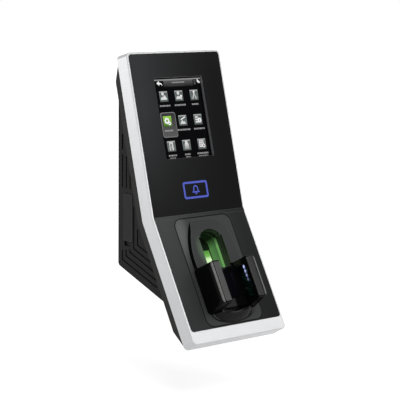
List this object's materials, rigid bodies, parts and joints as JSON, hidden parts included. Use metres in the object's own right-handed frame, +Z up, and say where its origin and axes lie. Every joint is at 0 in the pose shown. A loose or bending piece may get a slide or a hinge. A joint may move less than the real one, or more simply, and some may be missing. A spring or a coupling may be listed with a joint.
{
  "type": "fingerprint scanner terminal",
  "caption": "Wall-mounted fingerprint scanner terminal: bent silver frame, tilted screen panel, lit finger slot with two upright finger guides, wedge-shaped rear housing, steel wall plate.",
  "frame": {"origin": "centre of the wall plate's four-screw pattern, on the wall plane", "axes": "+Z up, +Y into the wall, +X to the right of a person who faces the terminal"},
  "size_m": [0.088, 0.0968, 0.2058],
  "materials": {
    "silver_frame": "fine-grained silver paint",
    "inner_black": "moulded, fine texture",
    "gloss_panel": "polished acrylic, black behind",
    "blue_key": "lit translucent inlay",
    "screen_glass": "polished",
    "foam": "closed-cell foam",
    "lcd": "screen",
    "circuit_board": "solder mask",
    "copper": "etched copper",
    "grey_fascia": "fine spark-eroded texture",
    "light_well": "translucent, lit green",
    "prism_glass": "polished",
    "gloss_black": "polished mould",
    "grey_cap": "satin",
    "dark_window": "infra-red transparent",
    "rear_black": "spark-eroded texture",
    "plate_steel": "zinc plated",
    "chip_black": "moulded epoxy",
    "battery_steel": "bright steel can",
    "relay_blue": "moulded",
    "speaker_steel": "plated",
    "terminal_green": "moulded",
    "jack_metal": "tinned",
    "cover_rubber": "matt silicone",
    "plunger_white": "acetal",
    "screw_steel": "zinc plated"
  },
  "bodies": {
    "terminal": {"front_frame": "silver_frame", "front_chassis": "inner_black", "display_panel": "gloss_panel", "key_ring": "blue_key", "touch_glass": "screen_glass", "lcd_gasket": "foam", "lcd_module": "lcd", "key_board": "circuit_board", "rfid_antenna": "copper", "sensor_fascia": "grey_fascia", "module_plate": "grey_fascia", "arch_guide": "grey_fascia", "optics_housing": "light_well", "fingerprint_prism": "prism_glass", "prism_light_board": "circuit_board", "fingerprint_camera": "inner_black", "tunnel_body": "gloss_black", "left_wing_cap": "grey_cap", "right_wing_cap": "grey_cap", "left_led_window": "dark_window", "right_led_window": "dark_window", "left_led_board": "circuit_board", "right_led_board": "circuit_board", "vein_window": "dark_window", "vein_camera": "inner_black", "rear_housing": "rear_black", "wall_plate": "plate_steel", "main_board": "circuit_board", "board_chips": "chip_black", "backup_battery": "battery_steel", "relay": "relay_blue", "speaker": "speaker_steel", "terminal_blocks": "terminal_green", "ethernet_jack": "jack_metal", "usb_port": "jack_metal", "reset_switch": "chip_black", "tamper_switch": "chip_black", "tamper_spring": "screw_steel", "housing_screws": "screw_steel", "board_screws": "screw_steel", "lock_screw": "screw_steel"},
    "usb_cover": {"usb_cover": "cover_rubber"},
    "tamper_plunger": {"tamper_plunger": "plunger_white"},
    "reset_button": {"reset_button": "chip_black"}
  },
  "joints": [
    {"name": "usb_cover_hinge", "type": "hinge", "parent": "terminal", "child": "usb_cover", "pos_m": [-0.0411, -0.01175, -0.0065], "axis": [0, 1, 0], "range_deg": [0, 100]},
    {"name": "tamper_plunger_slide", "type": "slide", "parent": "terminal", "child": "tamper_plunger", "axis": [0, -1, 0], "range_m": [0, 0.001], "stiffness_N_per_m": 100, "springref_m": -0.002, "deforming": ["tamper_spring"]},
    {"name": "reset_button_slide", "type": "slide", "parent": "terminal", "child": "reset_button", "axis": [0, -1, 0], "range_m": [0, 0.0004], "stiffness_N_per_m": 200, "springref_m": -0.001}
  ]
}
